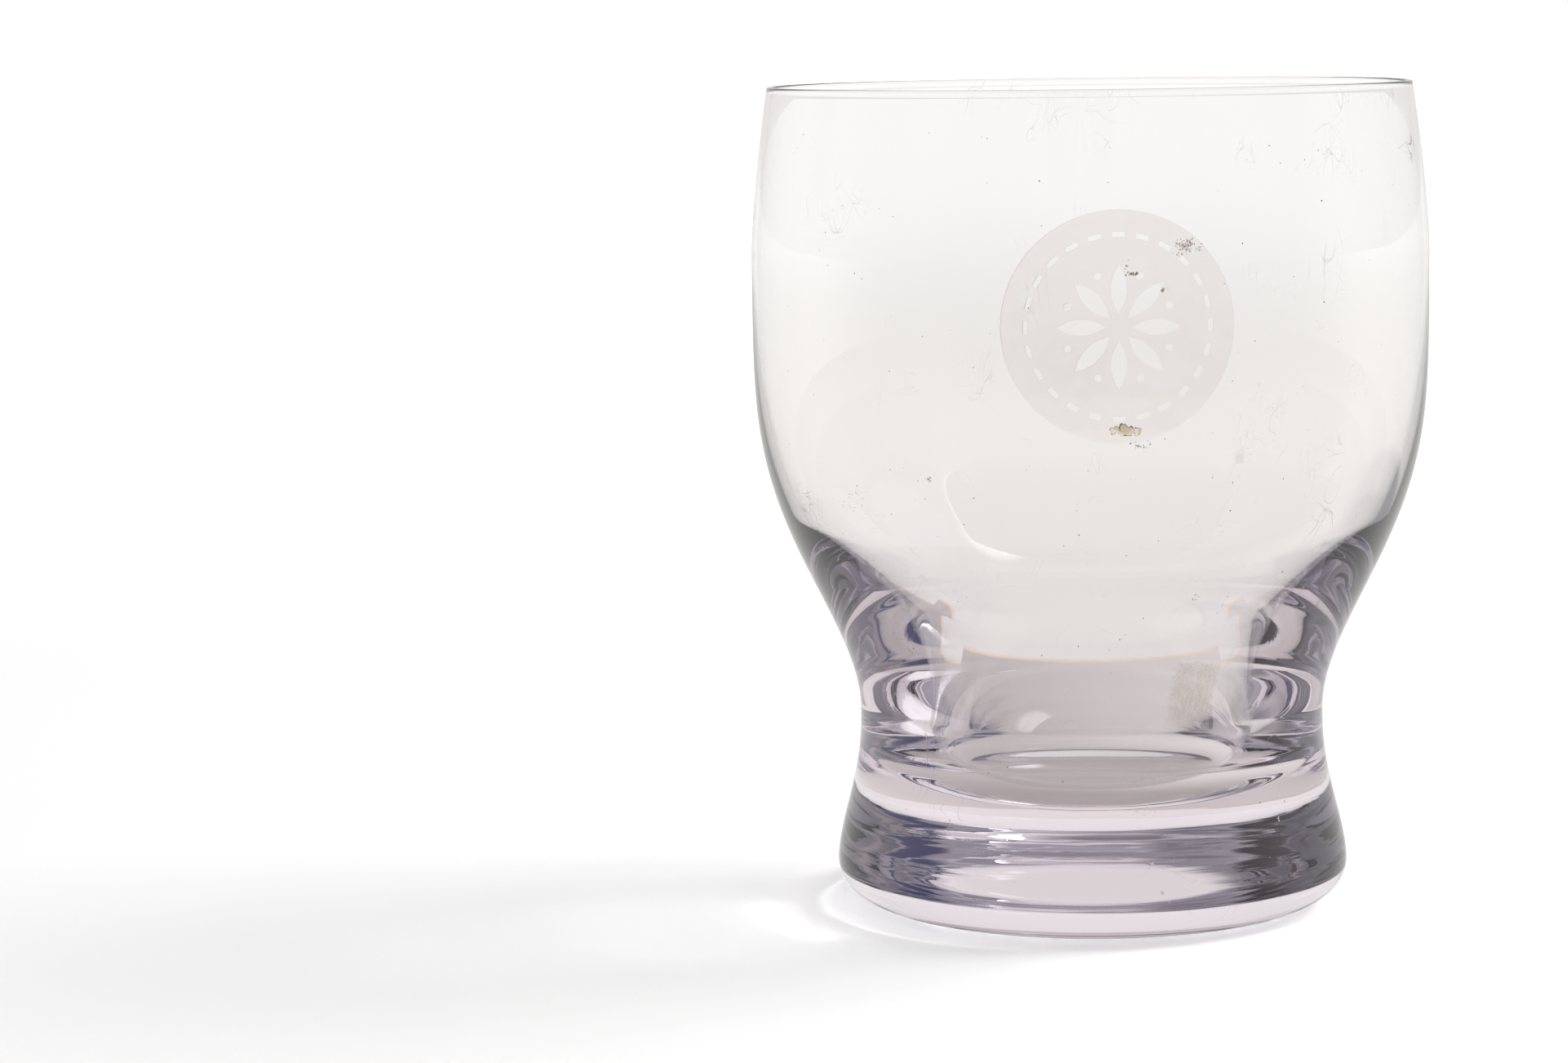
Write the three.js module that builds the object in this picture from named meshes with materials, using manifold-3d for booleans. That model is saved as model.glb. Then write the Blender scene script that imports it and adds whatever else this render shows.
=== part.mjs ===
// A waisted glass tumbler with a heavy foot and a round matt engraving on its bowl.
//
// The body is one run of glass. It is divided where a drawing of a drinking glass
// divides it: a thin bowl, a thick-walled waist and a solid foot, meeting face to
// face on two level planes. The engraving is a thin matt skin, set flush into a
// shallow round seat in the front of the bowl.
//
// Millimetres, +Z up. The origin lies on the table under the middle of the foot,
// and the engraving faces -Y.

import * as THREE from 'three';
import * as BufferGeometryUtils from 'three/addons/utils/BufferGeometryUtils.js';
import Module from 'manifold-3d';

// Outline of the glass, from the table up

const FOOT_RADIUS = 28.1; // widest point of the foot
const FOOT_EDGE_HEIGHT = 4.8; // table to that widest point
const FOOT_EDGE_WIDTH = 6.1; // how far the rounded lower edge draws in
const WAIST_RADIUS = 25.45;
const WAIST_RISE = 17; // widest point of the foot to the waist
const GIRTH_RADIUS = 36.9; // widest point of the bowl
const GIRTH_RISE = 50.2; // waist to that widest point
const RIM_RADIUS = 35;
const RIM_RISE = 18; // widest point of the bowl to the rim

// How the outline leaves one height and settles at the next

const FOOT_LEAVE = 1.66;
const FOOT_SETTLE = 2.8;
const BOWL_LEAVE = 1.78;
const BOWL_SETTLE = 5.3;
const MOUTH_TURN_IN = 1.4;

// Cavity

const RIM_WALL = 0.62;
const WALL_TAPER = 5.1; // what the wall gains from the girth down to the floor
const WALL_TAPER_POWER = 2.06;
const HEEL_WALL = 2.62; // what the wall gains besides, low in the bowl and in the waist
const HEEL_RISE = 32.8; // middle of the floor to where the heel ends
const HEEL_LEAVE = 3.26;
const HEEL_SETTLE = 1.65;
const FLOOR_THICKNESS = 10.9; // glass under the middle of the floor
const FLOOR_ROUNDING = 12.3; // height over which the floor rounds up into the wall
const FLOOR_FULLNESS = 3.45; // 2 rounds like an ellipse, more is flatter in the middle

// Seams

const FOOT_SEAM_RISE = 6.2; // middle of the floor to the seam between foot and waist
const BOWL_SEAM_RISE = 13.2; // waist's narrowest ring to the seam between waist and bowl

// Engraving: a stencil of petals, drops and dashes left clear in a matt disc

const ENGRAVING_RADIUS = 11.9;
const ENGRAVING_HEIGHT = 66; // table to the middle of the disc
const ENGRAVING_DEPTH = 0.2;
const ENGRAVING_CLEARANCE = 0.05;
const PETALS = 8;
const PETAL_INNER = 1.3;
const PETAL_OUTER = 6.4;
const PETAL_HALF_WIDTH = 0.85;
const DROP_RADIUS = 0.42;
const DROP_RING = 5.6;
const DASHES = 24;
const DASH_RING = 9.4;
const DASH_LENGTH = 1.35;
const DASH_WIDTH = 0.55;

// Fineness

const AROUND = 72;
const BOWL_ROWS = 16;
const WAIST_ROWS = 10;
const FOOT_ROWS = 6;
const EDGE_ROWS = 7;
const FLOOR_ROWS = 10;
const LIP_ROWS = 6;
const DISC_SIDES = 48;
const DROP_SIDES = 8;
const PETAL_STEPS = 5;

// Heights above the table that follow from the dimensions

const WAIST_HEIGHT = FOOT_EDGE_HEIGHT + WAIST_RISE;
const GIRTH_HEIGHT = WAIST_HEIGHT + GIRTH_RISE;
const RIM_HEIGHT = GIRTH_HEIGHT + RIM_RISE;
const FOOT_SEAM_HEIGHT = FLOOR_THICKNESS + FOOT_SEAM_RISE;
const BOWL_SEAM_HEIGHT = WAIST_HEIGHT + BOWL_SEAM_RISE;
const LIP_RADIUS = RIM_WALL / 2;
const LIP_HEIGHT = RIM_HEIGHT - LIP_RADIUS;

// Goes from 0 to 1 with t, level at both ends.
function swell( t, leave, settle ) {

	return 1 - Math.pow( 1 - Math.pow( t, leave ), settle );

}

// Radius of the outside at a height.
function outerRadius( z ) {

	if ( z < FOOT_EDGE_HEIGHT ) {

		const drop = 1 - z / FOOT_EDGE_HEIGHT;
		return FOOT_RADIUS - FOOT_EDGE_WIDTH * ( 1 - Math.sqrt( 1 - drop * drop ) );

	}

	if ( z < WAIST_HEIGHT ) {

		const t = ( z - FOOT_EDGE_HEIGHT ) / WAIST_RISE;
		return FOOT_RADIUS + ( WAIST_RADIUS - FOOT_RADIUS ) * swell( t, FOOT_LEAVE, FOOT_SETTLE );

	}

	if ( z < GIRTH_HEIGHT ) {

		const t = ( z - WAIST_HEIGHT ) / GIRTH_RISE;
		return WAIST_RADIUS + ( GIRTH_RADIUS - WAIST_RADIUS ) * swell( t, BOWL_LEAVE, BOWL_SETTLE );

	}

	const t = ( z - GIRTH_HEIGHT ) / RIM_RISE;
	return GIRTH_RADIUS + ( RIM_RADIUS - GIRTH_RADIUS ) * Math.pow( t, MOUTH_TURN_IN );

}

// Radius of the cavity at a height, from nothing in the middle of the floor.
function innerRadius( z ) {

	const rise = z - FLOOR_THICKNESS;
	const depth = 1 - Math.min( rise / ( GIRTH_HEIGHT - FLOOR_THICKNESS ), 1 );
	const heel = HEEL_WALL * ( 1 - swell( Math.min( rise / HEEL_RISE, 1 ), HEEL_LEAVE, HEEL_SETTLE ) );
	const wall = RIM_WALL + WALL_TAPER * Math.pow( depth, WALL_TAPER_POWER ) + heel;
	const drop = 1 - Math.min( rise / FLOOR_ROUNDING, 1 );
	const rounding = Math.pow( 1 - Math.pow( drop, FLOOR_FULLNESS ), 1 / FLOOR_FULLNESS );
	return ( outerRadius( z ) - wall ) * rounding;

}

// Heights from low to high, both included.
function levels( low, high, rows ) {

	return Array.from( { length: rows + 1 }, ( _, i ) => low + ( high - low ) * i / rows );

}

// Points of the outside from low to high.
function outside( low, high, rows ) {

	return levels( low, high, rows ).map( ( z ) => new THREE.Vector2( outerRadius( z ), z ) );

}

// Points of the cavity's wall from high to low.
function inside( low, high, rows ) {

	return levels( low, high, rows ).reverse().map( ( z ) => new THREE.Vector2( innerRadius( z ), z ) );

}

// Solid turned about the upright axis, from a profile that ends on the axis.
function turned( profile ) {

	return closed( new THREE.LatheGeometry( profile, AROUND ).rotateX( Math.PI / 2 ) );

}

// Ring turned about the upright axis, from a loop of points clear of it.
function turnedRing( loop ) {

	return turned( [ ...loop, loop[ 0 ] ] );

}

// Keeps only the places of the points, with shared points merged.
function closed( geometry ) {

	const bare = new THREE.BufferGeometry();
	bare.setAttribute( 'position', geometry.getAttribute( 'position' ) );
	bare.setIndex( geometry.getIndex() );
	const merged = BufferGeometryUtils.mergeVertices( bare, 1e-5 );
	const index = merged.getIndex().array;
	const kept = [];

	for ( let i = 0; i < index.length; i += 3 ) {

		const [ a, b, c ] = index.slice( i, i + 3 );
		if ( a !== b && b !== c && c !== a ) kept.push( a, b, c );

	}

	merged.setIndex( kept );
	return merged;

}

// Bowl, from its seam with the waist to the rounded lip

function bowlProfile() {

	const lip = [];
	const lipCentre = outerRadius( LIP_HEIGHT ) - LIP_RADIUS;

	for ( let i = 1; i < LIP_ROWS; i ++ ) {

		const turn = Math.PI * i / LIP_ROWS;
		lip.push( new THREE.Vector2(
			lipCentre + LIP_RADIUS * Math.cos( turn ),
			LIP_HEIGHT + LIP_RADIUS * Math.sin( turn )
		) );

	}

	return [
		...outside( BOWL_SEAM_HEIGHT, LIP_HEIGHT, BOWL_ROWS ),
		...lip,
		...inside( BOWL_SEAM_HEIGHT, LIP_HEIGHT, BOWL_ROWS )
	];

}

// Waist, between its seams with the foot and the bowl

function waistProfile() {

	return [
		...outside( FOOT_SEAM_HEIGHT, BOWL_SEAM_HEIGHT, WAIST_ROWS ),
		...inside( FOOT_SEAM_HEIGHT, BOWL_SEAM_HEIGHT, WAIST_ROWS )
	];

}

// Foot, solid but for the rounded floor of the cavity in its top

function footProfile() {

	const edge = [];

	for ( let i = 0; i < EDGE_ROWS; i ++ ) {

		const turn = Math.PI / 2 * i / EDGE_ROWS;
		edge.push( new THREE.Vector2(
			FOOT_RADIUS - FOOT_EDGE_WIDTH * ( 1 - Math.sin( turn ) ),
			FOOT_EDGE_HEIGHT * ( 1 - Math.cos( turn ) )
		) );

	}

	const floor = [];
	const seamDrop = 1 - FOOT_SEAM_RISE / FLOOR_ROUNDING;
	const seamTurn = Math.asin( Math.pow( seamDrop, FLOOR_FULLNESS / 2 ) );

	for ( let i = 0; i < FLOOR_ROWS; i ++ ) {

		const turn = seamTurn + ( Math.PI / 2 - seamTurn ) * i / FLOOR_ROWS;
		const drop = Math.pow( Math.sin( turn ), 2 / FLOOR_FULLNESS );
		const height = FLOOR_THICKNESS + FLOOR_ROUNDING * ( 1 - drop );
		floor.push( new THREE.Vector2( innerRadius( height ), height ) );

	}

	return [
		new THREE.Vector2( 0, 0 ),
		...edge,
		...outside( FOOT_EDGE_HEIGHT, FOOT_SEAM_HEIGHT, FOOT_ROWS ),
		...floor,
		new THREE.Vector2( 0, FLOOR_THICKNESS )
	];

}

// Solids for cutting and joining

const wasm = await Module();
wasm.setup();

function toSolid( geometry ) {

	return new wasm.Manifold( new wasm.Mesh( {
		numProp: 3,
		vertProperties: new Float32Array( geometry.getAttribute( 'position' ).array ),
		triVerts: new Uint32Array( geometry.getIndex().array )
	} ) );

}

function toGeometry( solid ) {

	const mesh = solid.getMesh();
	const geometry = new THREE.BufferGeometry();
	geometry.setAttribute( 'position', new THREE.BufferAttribute( mesh.vertProperties, 3 ) );
	geometry.setIndex( new THREE.BufferAttribute( mesh.triVerts, 1 ) );
	geometry.computeVertexNormals();
	return geometry;

}

// Skin that follows the bowl from a depth under its surface to a height over it.
function bowlSkin( depth, over ) {

	const face = outside( BOWL_SEAM_HEIGHT, LIP_HEIGHT, BOWL_ROWS );
	const shift = ( by ) => face.map( ( p ) => new THREE.Vector2( p.x + by, p.y ) );
	return toSolid( turnedRing( [ ...shift( over ), ...shift( - depth ).reverse() ] ) );

}

// Prism of a flat outline, pushed through the front wall at the engraving.
function throughFront( outline ) {

	const reach = ENGRAVING_RADIUS;
	const prism = new THREE.ExtrudeGeometry( outline, { depth: reach, bevelEnabled: false, curveSegments: PETAL_STEPS } );
	prism.rotateX( Math.PI / 2 );
	prism.translate( 0, reach / 2 - outerRadius( ENGRAVING_HEIGHT ), ENGRAVING_HEIGHT );
	return toSolid( closed( prism ) );

}

// Regular outline about a point.
function roundOutline( radius, sides, x = 0, y = 0 ) {

	const points = [];

	for ( let i = 0; i < sides; i ++ ) {

		const turn = 2 * Math.PI * i / sides;
		points.push( new THREE.Vector2( x + radius * Math.cos( turn ), y + radius * Math.sin( turn ) ) );

	}

	return new THREE.Shape( points );

}

// Pointed leaf that lies along a ray, from one distance to another.
function petalOutline( turn ) {

	const at = ( along, across ) => new THREE.Vector2( along, across ).rotateAround( new THREE.Vector2(), turn );
	const middle = ( PETAL_INNER + PETAL_OUTER ) / 2;
	const start = at( PETAL_INNER, 0 );
	const tip = at( PETAL_OUTER, 0 );
	const left = at( middle, 2 * PETAL_HALF_WIDTH );
	const right = at( middle, - 2 * PETAL_HALF_WIDTH );
	const petal = new THREE.Shape();
	petal.moveTo( start.x, start.y );
	petal.quadraticCurveTo( right.x, right.y, tip.x, tip.y );
	petal.quadraticCurveTo( left.x, left.y, start.x, start.y );
	return petal;

}

// Short bar across a ray, on the outer ring.
function dashOutline( turn ) {

	const corners = [ [ - 1, - 1 ], [ 1, - 1 ], [ 1, 1 ], [ - 1, 1 ] ].map( ( [ out, along ] ) => {

		const corner = new THREE.Vector2( DASH_RING + out * DASH_WIDTH / 2, along * DASH_LENGTH / 2 );
		return corner.rotateAround( new THREE.Vector2(), turn );

	} );
	return new THREE.Shape( corners );

}

// All that stays clear inside the matt disc.
function clearOutlines() {

	const outlines = [];

	for ( let i = 0; i < PETALS; i ++ ) {

		const step = 2 * Math.PI / PETALS;
		outlines.push( petalOutline( i * step ) );
		const between = ( i + 0.5 ) * step;
		outlines.push( roundOutline( DROP_RADIUS, DROP_SIDES, DROP_RING * Math.cos( between ), DROP_RING * Math.sin( between ) ) );

	}

	for ( let i = 0; i < DASHES; i ++ ) outlines.push( dashOutline( 2 * Math.PI * i / DASHES ) );

	return outlines;

}

function seatedBowl() {

	const seat = bowlSkin( ENGRAVING_DEPTH + ENGRAVING_CLEARANCE, ENGRAVING_DEPTH )
		.intersect( throughFront( roundOutline( ENGRAVING_RADIUS + ENGRAVING_CLEARANCE, DISC_SIDES ) ) );
	return toSolid( turnedRing( bowlProfile() ) ).subtract( seat );

}

function engraving() {

	let disc = bowlSkin( ENGRAVING_DEPTH, 0 ).intersect( throughFront( roundOutline( ENGRAVING_RADIUS, DISC_SIDES ) ) );
	for ( const outline of clearOutlines() ) disc = disc.subtract( throughFront( outline ) );
	return disc;

}

// Materials

const clearGlass = {
	color: 0xe9e3ea,
	roughness: 0.03,
	metalness: 0,
	transparent: true,
	opacity: 0.35
};

const mattGlass = {
	color: 0xe8e1de,
	roughness: 0.65,
	metalness: 0,
	transparent: true,
	opacity: 0.8
};

function piece( name, geometry, look ) {

	const mesh = new THREE.Mesh( geometry, new THREE.MeshStandardMaterial( look ) );
	mesh.name = name;
	return mesh;

}

const tumbler = new THREE.Group();
tumbler.add( piece( 'bowl', toGeometry( seatedBowl() ), clearGlass ) );
tumbler.add( piece( 'waist', turnedRing( waistProfile() ), clearGlass ) );
tumbler.add( piece( 'foot', turned( footProfile() ), clearGlass ) );
tumbler.add( piece( 'engraved_badge', toGeometry( engraving() ), mattGlass ) );

export default tumbler;
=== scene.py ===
"""Looks of a waisted glass tumbler with a heavy foot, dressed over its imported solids.

Metres, +Z up. The origin lies on the table under the middle of the foot, and the engraving faces -Y.
"""

import logging
import math
import random
from collections.abc import Sequence
from dataclasses import dataclass, field
from enum import Enum

import bpy
from mathutils import Matrix, Vector


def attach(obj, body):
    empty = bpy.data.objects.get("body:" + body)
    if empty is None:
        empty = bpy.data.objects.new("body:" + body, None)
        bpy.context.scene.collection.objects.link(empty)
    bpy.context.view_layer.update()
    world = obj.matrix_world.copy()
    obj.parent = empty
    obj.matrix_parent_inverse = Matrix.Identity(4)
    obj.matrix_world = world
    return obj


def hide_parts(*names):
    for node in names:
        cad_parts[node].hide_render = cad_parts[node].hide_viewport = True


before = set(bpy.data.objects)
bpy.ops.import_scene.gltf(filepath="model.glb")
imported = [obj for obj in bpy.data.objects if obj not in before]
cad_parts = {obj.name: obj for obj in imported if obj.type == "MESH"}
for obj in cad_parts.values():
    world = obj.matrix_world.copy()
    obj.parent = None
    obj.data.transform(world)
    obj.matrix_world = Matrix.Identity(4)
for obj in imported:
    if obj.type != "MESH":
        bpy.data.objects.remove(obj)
log = logging.getLogger("tumbler")

MM = 0.001
# The middle of what a noise gives.
HALF = 0.5
Colour = tuple[float, float, float]
Rgba = tuple[float, float, float, float]
# Where a soft mask is 0, and where it is 1.
Fade = tuple[float, float]
# The least and the most that chance gives.
Range = tuple[float, float]


class Slot(Enum):
    """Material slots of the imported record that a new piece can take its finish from."""

    CLEAR = "clear_glass"


class Blend(Enum):
    """How one colour is laid over another."""

    MIX = "MIX"
    DARKEN = "DARKEN"


# Shader maths


@dataclass(frozen=True)
class Grain:
    """A pattern of soft noise.

    Its forms are counted by the metre. Layers is how many finer ones lie over them, twist is how far they
    are distorted, and stretch is what a place's three numbers are multiplied by first.
    """

    forms: float
    layers: float = 2.0
    twist: float = 0.0
    stretch: tuple[float, float, float] | None = None


class Socket:
    """A value, colour or vector of a node, which adds nodes as it is calculated with."""

    def __init__(self, sheet: "NodeSheet", link: bpy.types.NodeSocket | None) -> None:
        """Keeps the output and the sheet it is on."""
        self.sheet = sheet
        self.link = link

    def __add__(self, other: "Socket | float") -> "Socket":
        """The sum."""
        return self.sheet.math("ADD", self, other)

    def __radd__(self, other: float) -> "Socket":
        """The sum, with the number first."""
        return self.sheet.math("ADD", other, self)

    def __sub__(self, other: "Socket | float") -> "Socket":
        """The difference."""
        return self.sheet.math("SUBTRACT", self, other)

    def __rsub__(self, other: float) -> "Socket":
        """The difference, with the number first."""
        return self.sheet.math("SUBTRACT", other, self)

    def __mul__(self, other: "Socket | float") -> "Socket":
        """The product."""
        return self.sheet.math("MULTIPLY", self, other)

    def __rmul__(self, other: float) -> "Socket":
        """The product, with the number first."""
        return self.sheet.math("MULTIPLY", other, self)

    def __truediv__(self, other: "Socket | float") -> "Socket":
        """The quotient."""
        return self.sheet.math("DIVIDE", self, other)

    def __abs__(self) -> "Socket":
        """The size, without its sign."""
        return self.sheet.math("ABSOLUTE", self)

    def fade(self, start: float, end: float) -> "Socket":
        """A smooth mask.

        Args:
            start: where the mask is 0.
            end: where the mask is 1, on either side of start.

        Returns:
            The mask.
        """
        if start < end:
            return self.sheet.smooth(self, start, end)
        return 1 - self.sheet.smooth(self, end, start)


class NodeSheet:
    """The nodes of one material or of the world."""

    def __init__(self, tree: bpy.types.NodeTree) -> None:
        """Takes over a tree and empties it."""
        self.tree = tree
        tree.nodes.clear()

    def add(
        self,
        kind: str,
        settings: dict[str, object] | None = None,
        values: dict[str | int, object] | None = None,
        output: str | int = 0,
    ) -> Socket:
        """Adds one node.

        Args:
            kind: the node's type, without its ShaderNode prefix.
            settings: what the node itself is set to.
            values: numbers, colours or sockets, by the input's name or place.
            output: the output to hand back.

        Returns:
            That output.
        """
        node = self.tree.nodes.new("ShaderNode" + kind)
        for name, value in (settings or {}).items():
            setattr(node, name, value)
        for place, value in (values or {}).items():
            if isinstance(value, Socket):
                self.tree.links.new(value.link, node.inputs[place])
            else:
                node.inputs[place].default_value = value
        return Socket(self, node.outputs[output] if node.outputs else None)

    def math(self, operation: str, *terms: Socket | float) -> Socket:
        """One Math node on sockets and numbers."""
        return self.add("Math", {"operation": operation}, dict(enumerate(terms)))

    def smooth(self, value: Socket, low: float, high: float) -> Socket:
        """A mask that rises smoothly from 0 at low to 1 at high."""
        settings = {"interpolation_type": "SMOOTHSTEP"}
        return self.add("MapRange", settings, {"Value": value, "From Min": low, "From Max": high})

    def place(self) -> Socket:
        """The place on the object, in metres."""
        return self.add("TexCoord", output="Object")

    def axes(self, place: Socket) -> tuple[Socket, Socket, Socket]:
        """A vector's three numbers.

        Args:
            place: the vector.

        Returns:
            Its numbers along X, Y and Z.
        """
        node = self.tree.nodes.new("ShaderNodeSeparateXYZ")
        self.tree.links.new(place.link, node.inputs[0])
        return tuple(Socket(self, output) for output in node.outputs)

    def noise(self, place: Socket, grain: Grain) -> Socket:
        """Soft noise from 0 to 1.

        Args:
            place: where it is read.
            grain: its pattern.

        Returns:
            The noise.
        """
        if grain.stretch:
            place = self.add("VectorMath", {"operation": "MULTIPLY"}, {0: place, 1: grain.stretch})
        values = {"Vector": place, "Scale": grain.forms, "Detail": grain.layers, "Distortion": grain.twist}
        return self.add("TexNoise", {}, values)

    def layer(
        self, under: Socket | Rgba, over: Socket | Rgba, mask: Socket | float, blend: Blend = Blend.MIX
    ) -> Socket:
        """One colour laid over another.

        Args:
            under: the lower colour.
            over: the upper colour.
            mask: how much of the upper colour shows.
            blend: how it is laid.

        Returns:
            The colour.
        """
        settings = {"data_type": "RGBA", "blend_type": blend.value}
        return self.add("Mix", settings, {0: mask, 6: under, 7: over}, output=2)

    def relief(self, height: Socket, metres: float = 1.0, strength: float = 1.0) -> Socket:
        """A bent normal.

        Args:
            height: the height of the relief.
            metres: how many metres a height of 1 is.
            strength: how much of the relief shows.

        Returns:
            The normal.
        """
        return self.add("Bump", {}, {"Strength": strength, "Distance": metres, "Height": height})

    def through_glass(self) -> Socket:
        """1 for light that the glass has bent or mirrored last, and 0 for all other light."""
        bent = self.add("LightPath", output="Is Transmission Ray")
        return self.math("MAXIMUM", bent, self.add("LightPath", output="Is Glossy Ray"))

    def mirrored_within(self) -> Socket:
        """1 for light that was mirrored on its way, and 0 for light that went straight through."""
        return self.add("LightPath", output="Glossy Depth").fade(0.0, 1.0)

    def surface(self, shader: Socket, volume: Socket | None = None) -> None:
        """Ends the tree in a material's output.

        Args:
            shader: the surface's shader.
            volume: the shader of what lies inside, if any.
        """
        ends = {"Surface": shader}
        if volume:
            ends["Volume"] = volume
        self.add("OutputMaterial", {}, ends)


def opaque(colour: Colour) -> Rgba:
    """A colour with full alpha."""
    return (*colour, 1.0)


def new_material(name: str) -> tuple[bpy.types.Material, NodeSheet]:
    """An empty material and its sheet.

    Args:
        name: the material's name.

    Returns:
        The material and its sheet.
    """
    material = bpy.data.materials.new(name)
    material.use_nodes = True
    return material, NodeSheet(material.node_tree)


# Finishes


@dataclass(frozen=True)
class ClearGlass:
    """Fire-polished glass with a faint lilac tint, cords in its thick foot, and marks of use.

    The scuff's left and right are in degrees round from the front.
    """

    index: float = 1.52
    tint: Colour = (0.86, 0.765, 0.86)
    tint_density: float = 12.0
    cords: Grain = Grain(1.0, 3.0, 0.6, (26, 26, 430))
    cord_height: float = 0.020 * MM
    cord_fade: Fade = (18 * MM, 13 * MM)
    waves: Grain = Grain(52.0, 1.0, stretch=(1, 1, 1.6))
    wave_height: float = 0.006 * MM
    scuff_left: Fade = (12.9, 15.1)
    scuff_right: Fade = (25.8, 23.6)
    scuff_low: Fade = (22.9 * MM, 24.0 * MM)
    scuff_high: Fade = (30.3 * MM, 29.5 * MM)
    scuff_radius: Fade = (24.2 * MM, 24.9 * MM)
    scuff_edge: Grain = Grain(620, 4.0)
    scuff_raggedness: float = 5.0
    scuff_lift: float = 0.4 * MM
    scuff_lines: Grain = Grain(1.0, 3.0, stretch=(3000, 3000, 160))
    scuff_contrast: Fade = (0.2, 0.8)
    scuff_bareness: float = 0.3
    scuff_strength: float = 0.60
    scuff_colour: Colour = (0.56, 0.48, 0.41)
    scuff_roughness: float = 0.7
    hairs: Grain = Grain(150, 1.0, 1.6)
    crossing_hairs: Grain = Grain(210, 1.0, 0.8, (1, 1, 0.35))
    hair_width: float = 0.006
    hair_patches: Grain = Grain(95)
    hair_fade: Fade = (0.58, 0.72)
    hair_strength: float = 0.75
    hair_colour: Colour = (0.70, 0.66, 0.62)
    hair_roughness: float = 0.35

    def material(self) -> bpy.types.Material:
        """Builds the material.

        Returns:
            The material.
        """
        material, sheet = new_material("clear_glass")
        place = sheet.place()
        x, y, z = sheet.axes(place)
        hairs = self._hairs(sheet, place)
        scuff = self._scuff(sheet, place, x, y, z)
        colour = sheet.layer(opaque((1, 1, 1)), opaque(self.hair_colour), hairs * self.hair_strength)
        clear = sheet.add("BsdfPrincipled", {}, {
            "Base Color": colour,
            "Roughness": hairs * self.hair_roughness,
            "IOR": self.index,
            "Transmission Weight": 1.0,
            "Normal": self._relief(sheet, place, z),
        })
        rubbed = sheet.add("BsdfPrincipled", {}, {
            "Base Color": opaque(self.scuff_colour),
            "Roughness": self.scuff_roughness,
        })
        shader = sheet.add("MixShader", {}, {0: scuff * self.scuff_strength, 1: clear, 2: rubbed})
        volume = sheet.add("VolumeAbsorption", {}, {"Color": opaque(self.tint), "Density": self.tint_density})
        sheet.surface(shader, volume)
        return material

    def _hairs(self, sheet: NodeSheet, place: Socket) -> Socket:
        """Fine hairlines and wiping marks, in loose patches.

        Args:
            sheet: the material's sheet.
            place: the place on the glass.

        Returns:
            The mask.
        """
        lines, crossing = (
            abs(sheet.noise(place, grain) - HALF).fade(self.hair_width, 0.0)
            for grain in (self.hairs, self.crossing_hairs)
        )
        patches = sheet.noise(place, self.hair_patches).fade(*self.hair_fade)
        return sheet.math("MAXIMUM", lines, crossing) * patches

    def _scuff(self, sheet: NodeSheet, place: Socket, x: Socket, y: Socket, z: Socket) -> Socket:
        """A rubbed patch of fine upright lines on the waist, right of the middle.

        Args:
            sheet: the material's sheet.
            place: the place on the glass.
            x: its first number.
            y: its second number.
            z: its height.

        Returns:
            The mask.
        """
        turn = sheet.math("ARCTAN2", x, 0 - y) * math.degrees(1)
        ragged = (sheet.noise(place, self.scuff_edge) - HALF) * self.scuff_raggedness
        across = (turn + ragged).fade(*self.scuff_left) * (turn + ragged).fade(*self.scuff_right)
        height = z + ragged * self.scuff_lift
        along = height.fade(*self.scuff_low) * height.fade(*self.scuff_high)
        outside = (x * x + y * y).fade(*(radius**2 for radius in self.scuff_radius))
        lines = sheet.noise(place, self.scuff_lines).fade(*self.scuff_contrast)
        return across * along * outside * (lines * (1 - self.scuff_bareness) + self.scuff_bareness)

    def _relief(self, sheet: NodeSheet, place: Socket, z: Socket) -> Socket:
        """Level cords in the foot and waist, and the slow waves of blown glass.

        Args:
            sheet: the material's sheet.
            place: the place on the glass.
            z: its height.

        Returns:
            The bent normal.
        """
        cords = sheet.noise(place, self.cords) * z.fade(*self.cord_fade)
        waves = sheet.noise(place, self.waves)
        return sheet.relief(cords * self.cord_height + waves * self.wave_height)


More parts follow.
